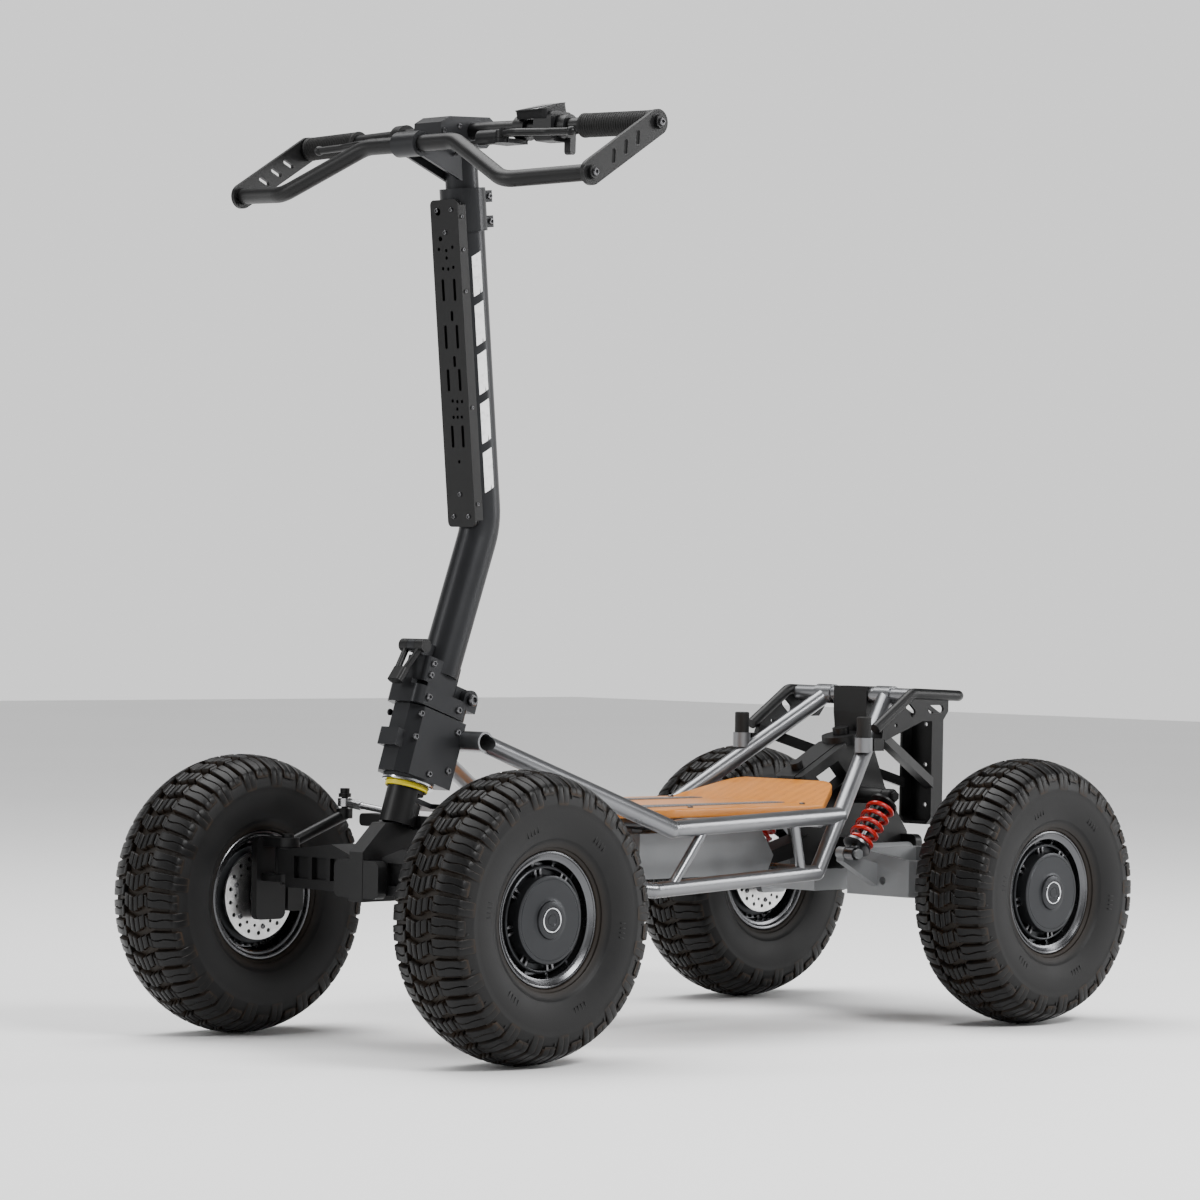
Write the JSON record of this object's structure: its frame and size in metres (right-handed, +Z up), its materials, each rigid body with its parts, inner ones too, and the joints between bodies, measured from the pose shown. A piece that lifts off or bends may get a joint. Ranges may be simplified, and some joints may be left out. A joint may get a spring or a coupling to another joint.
{
  "type": "four-wheel electric stand-up scooter",
  "caption": "Off-road stand-up electric scooter: hub-motor wheels on sprung arms, tube frame, wooden deck, folding steering stem with guarded bar.",
  "frame": {"origin": "on the ground, midway between the four wheels", "axes": "+X forward, +Y to the rider's left, +Z up"},
  "size_m": [1.3948, 0.6926, 1.2559],
  "materials": {
    "tyre": "matt knobbly rubber",
    "hub_black": "satin black cast aluminium",
    "disc_steel": "brushed",
    "caliper_black": "satin",
    "frame_grey": "metallic gunmetal gloss",
    "stem_grey": "satin dark grey",
    "trim_black": "satin black powder coat",
    "cast_grey": "satin grey",
    "deck_wood": "satin lacquer",
    "box_grey": "satin",
    "spring_red": "gloss",
    "steel": "bright",
    "rubber": "matt",
    "plastic": "matt",
    "hose": "satin"
  },
  "bodies": {
    "chassis": {"main_frame": "frame_grey", "post_caps": "rubber", "deck_board": "deck_wood", "battery_box": "box_grey", "front_carrier": "trim_black", "head_block": "stem_grey", "rear_carrier": "trim_black", "rear_rack": "trim_black", "rear_channel": "trim_black"},
    "front_left_arm": {"front_arm_left": "trim_black"},
    "rear_left_arm": {"rear_arm_left": "cast_grey", "brake_caliper_rear_left": "caliper_black"},
    "left_knuckle": {"steering_knuckle_left": "trim_black", "brake_caliper_front_left": "caliper_black"},
    "left_tie_rod": {"tie_rod_left": "steel"},
    "front_right_arm": {"front_arm_right": "trim_black"},
    "rear_right_arm": {"rear_arm_right": "cast_grey", "brake_caliper_rear_right": "caliper_black"},
    "right_knuckle": {"steering_knuckle_right": "trim_black", "brake_caliper_front_right": "caliper_black"},
    "right_tie_rod": {"tie_rod_right": "steel"},
    "front_left_wheel": {"tyre_front_left": "tyre", "hub_motor_front_left": "hub_black", "brake_disc_front_left": "disc_steel"},
    "front_left_shock": {"shock_body_front_left": "trim_black", "shock_spring_front_left": "spring_red"},
    "front_left_shock_rod": {"shock_rod_front_left": "steel"},
    "front_right_wheel": {"tyre_front_right": "tyre", "hub_motor_front_right": "hub_black", "brake_disc_front_right": "disc_steel"},
    "front_right_shock": {"shock_body_front_right": "trim_black", "shock_spring_front_right": "spring_red"},
    "front_right_shock_rod": {"shock_rod_front_right": "steel"},
    "rear_left_wheel": {"tyre_rear_left": "tyre", "hub_motor_rear_left": "hub_black", "brake_disc_rear_left": "disc_steel"},
    "rear_left_shock": {"shock_body_rear_left": "trim_black", "shock_spring_rear_left": "spring_red"},
    "rear_left_shock_rod": {"shock_rod_rear_left": "steel"},
    "rear_right_wheel": {"tyre_rear_right": "tyre", "hub_motor_rear_right": "hub_black", "brake_disc_rear_right": "disc_steel"},
    "rear_right_shock": {"shock_body_rear_right": "trim_black", "shock_spring_rear_right": "spring_red"},
    "rear_right_shock_rod": {"shock_rod_rear_right": "steel"},
    "steering": {"steering_base": "stem_grey"},
    "stem": {"lower_stem": "stem_grey", "stem_panel": "trim_black"},
    "stem_lever": {"fold_lever": "trim_black"},
    "bars": {"upper_stem": "stem_grey", "handlebar": "stem_grey", "guard_bar": "trim_black", "grips": "rubber", "control_housings": "plastic", "brake_hose_left": "hose", "brake_hose_right": "hose"},
    "left_brake_lever": {"brake_lever_left": "trim_black"},
    "right_brake_lever": {"brake_lever_right": "trim_black"},
    "throttle": {"throttle_paddle": "plastic"}
  },
  "joints": [
    {"name": "front_left_suspension", "type": "hinge", "parent": "chassis", "child": "front_left_arm", "pos_m": [0.361, 0.028, 0.226], "axis": [1, 0, 0], "range_deg": [0, 8], "stiffness_Nm_per_rad": 900, "springref_deg": -6.88},
    {"name": "front_left_shock_swing", "type": "hinge", "parent": "chassis", "child": "front_left_shock", "pos_m": [0.413, 0.085, 0.287], "axis": [0, 1, 0], "range_deg": [0, 4.1]},
    {"name": "front_left_shock_slide", "type": "slide", "parent": "front_left_shock", "child": "front_left_shock_rod", "axis": [0.6487, 0, 0.761], "range_m": [0, 0.00608], "deforming": ["shock_spring_front_left"]},
    {"name": "front_right_suspension", "type": "hinge", "parent": "chassis", "child": "front_right_arm", "pos_m": [0.361, -0.028, 0.226], "axis": [-1, 0, 0], "range_deg": [0, 8], "stiffness_Nm_per_rad": 900, "springref_deg": -6.88},
    {"name": "front_right_shock_swing", "type": "hinge", "parent": "chassis", "child": "front_right_shock", "pos_m": [0.413, -0.085, 0.287], "axis": [0, 1, 0], "range_deg": [0, 4.1]},
    {"name": "front_right_shock_slide", "type": "slide", "parent": "front_right_shock", "child": "front_right_shock_rod", "axis": [0.6487, 0, 0.761], "range_m": [0, 0.00608], "deforming": ["shock_spring_front_right"]},
    {"name": "rear_left_suspension", "type": "hinge", "parent": "chassis", "child": "rear_left_arm", "pos_m": [-0.43, 0.028, 0.236], "axis": [1, 0, 0], "range_deg": [0, 8], "stiffness_Nm_per_rad": 900, "springref_deg": -6.88},
    {"name": "rear_left_shock_swing", "type": "hinge", "parent": "chassis", "child": "rear_left_shock", "pos_m": [-0.409, 0.1, 0.321], "axis": [0, -1, 0], "range_deg": [0, 3.89]},
    {"name": "rear_left_shock_slide", "type": "slide", "parent": "rear_left_shock", "child": "rear_left_shock_rod", "axis": [-0.6982, 0, 0.7159], "range_m": [0, 0.00716], "deforming": ["shock_spring_rear_left"]},
    {"name": "rear_right_suspension", "type": "hinge", "parent": "chassis", "child": "rear_right_arm", "pos_m": [-0.43, -0.028, 0.236], "axis": [-1, 0, 0], "range_deg": [0, 8], "stiffness_Nm_per_rad": 900, "springref_deg": -6.88},
    {"name": "rear_right_shock_swing", "type": "hinge", "parent": "chassis", "child": "rear_right_shock", "pos_m": [-0.409, -0.1, 0.321], "axis": [0, -1, 0], "range_deg": [0, 3.89]},
    {"name": "rear_right_shock_slide", "type": "slide", "parent": "rear_right_shock", "child": "rear_right_shock_rod", "axis": [-0.6982, 0, 0.7159], "range_m": [0, 0.00716], "deforming": ["shock_spring_rear_right"]},
    {"name": "steering_turn", "type": "hinge", "parent": "chassis", "child": "steering", "pos_m": [0.424, 0, 0.446], "axis": [-0.309, 0, 0.9511], "range_deg": [-35, 35]},
    {"name": "left_kingpin", "type": "hinge", "parent": "front_left_arm", "child": "left_knuckle", "pos_m": [0.507, 0.178, 0.24], "axis": [0, 0, 1], "range_deg": [-21.2, 21.2]},
    {"name": "left_tie_rod_ball", "type": "hinge", "parent": "left_knuckle", "child": "left_tie_rod", "pos_m": [0.42, 0.161, 0.318], "axis": [0, 0, 1], "range_deg": [-21.2, 21.2]},
    {"name": "front_left_wheel_spin", "type": "hinge", "parent": "left_knuckle", "child": "front_left_wheel", "pos_m": [0.507, 0.275, 0.1905], "axis": [0, 1, 0], "continuous": true},
    {"name": "rear_left_wheel_spin", "type": "hinge", "parent": "rear_left_arm", "child": "rear_left_wheel", "pos_m": [-0.507, 0.275, 0.1905], "axis": [0, 1, 0], "continuous": true},
    {"name": "right_kingpin", "type": "hinge", "parent": "front_right_arm", "child": "right_knuckle", "pos_m": [0.507, -0.178, 0.24], "axis": [0, 0, 1], "range_deg": [-21.2, 21.2]},
    {"name": "right_tie_rod_ball", "type": "hinge", "parent": "right_knuckle", "child": "right_tie_rod", "pos_m": [0.42, -0.161, 0.318], "axis": [0, 0, 1], "range_deg": [-21.2, 21.2]},
    {"name": "front_right_wheel_spin", "type": "hinge", "parent": "right_knuckle", "child": "front_right_wheel", "pos_m": [0.507, -0.275, 0.1905], "axis": [0, 1, 0], "continuous": true},
    {"name": "rear_right_wheel_spin", "type": "hinge", "parent": "rear_right_arm", "child": "rear_right_wheel", "pos_m": [-0.507, -0.275, 0.1905], "axis": [0, 1, 0], "continuous": true},
    {"name": "stem_fold", "type": "hinge", "parent": "steering", "child": "stem", "pos_m": [0.37036, 0, 0.46222], "axis": [0, -1, 0], "range_deg": [0, 82]},
    {"name": "fold_lever_release", "type": "hinge", "parent": "stem", "child": "stem_lever", "pos_m": [0.44555, 0, 0.53502], "axis": [0, -1, 0], "range_deg": [0, 100]},
    {"name": "stem_telescope", "type": "slide", "parent": "stem", "child": "bars", "axis": [0.1017, 0, 0.9948], "range_m": [0, 0.08]},
    {"name": "brake_lever_left_pull", "type": "hinge", "parent": "bars", "child": "left_brake_lever", "pos_m": [0.40767, 0.112, 1.21237], "axis": [0, 0, 1], "range_deg": [0, 12], "stiffness_Nm_per_rad": 1.2, "springref_deg": -11.46},
    {"name": "brake_lever_right_pull", "type": "hinge", "parent": "bars", "child": "right_brake_lever", "pos_m": [0.40767, -0.112, 1.21237], "axis": [0, 0, -1], "range_deg": [0, 12], "stiffness_Nm_per_rad": 1.2, "springref_deg": -11.46},
    {"name": "throttle_push", "type": "hinge", "parent": "bars", "child": "throttle", "pos_m": [0.36474, 0.1815, 1.22368], "axis": [0.1084, -0.994, 0.0108], "range_deg": [0, 35], "stiffness_Nm_per_rad": 0.15, "springref_deg": -17.19}
  ],
  "couplings": [
    {"joint": "front_left_shock_swing", "follows": "front_left_suspension", "ratio": 0.49648},
    {"joint": "front_left_shock_slide", "follows": "front_left_suspension", "m_per_rad": 0.041959},
    {"joint": "front_right_shock_swing", "follows": "front_right_suspension", "ratio": 0.49648},
    {"joint": "front_right_shock_slide", "follows": "front_right_suspension", "m_per_rad": 0.041959},
    {"joint": "rear_left_shock_swing", "follows": "rear_left_suspension", "ratio": 0.4702},
    {"joint": "rear_left_shock_slide", "follows": "rear_left_suspension", "m_per_rad": 0.049538},
    {"joint": "rear_right_shock_swing", "follows": "rear_right_suspension", "ratio": 0.4702},
    {"joint": "rear_right_shock_slide", "follows": "rear_right_suspension", "m_per_rad": 0.049538},
    {"joint": "left_kingpin", "follows": "steering_turn", "ratio": 0.6},
    {"joint": "left_tie_rod_ball", "follows": "steering_turn", "ratio": -0.6},
    {"joint": "right_kingpin", "follows": "steering_turn", "ratio": 0.6},
    {"joint": "right_tie_rod_ball", "follows": "steering_turn", "ratio": -0.6}
  ]
}
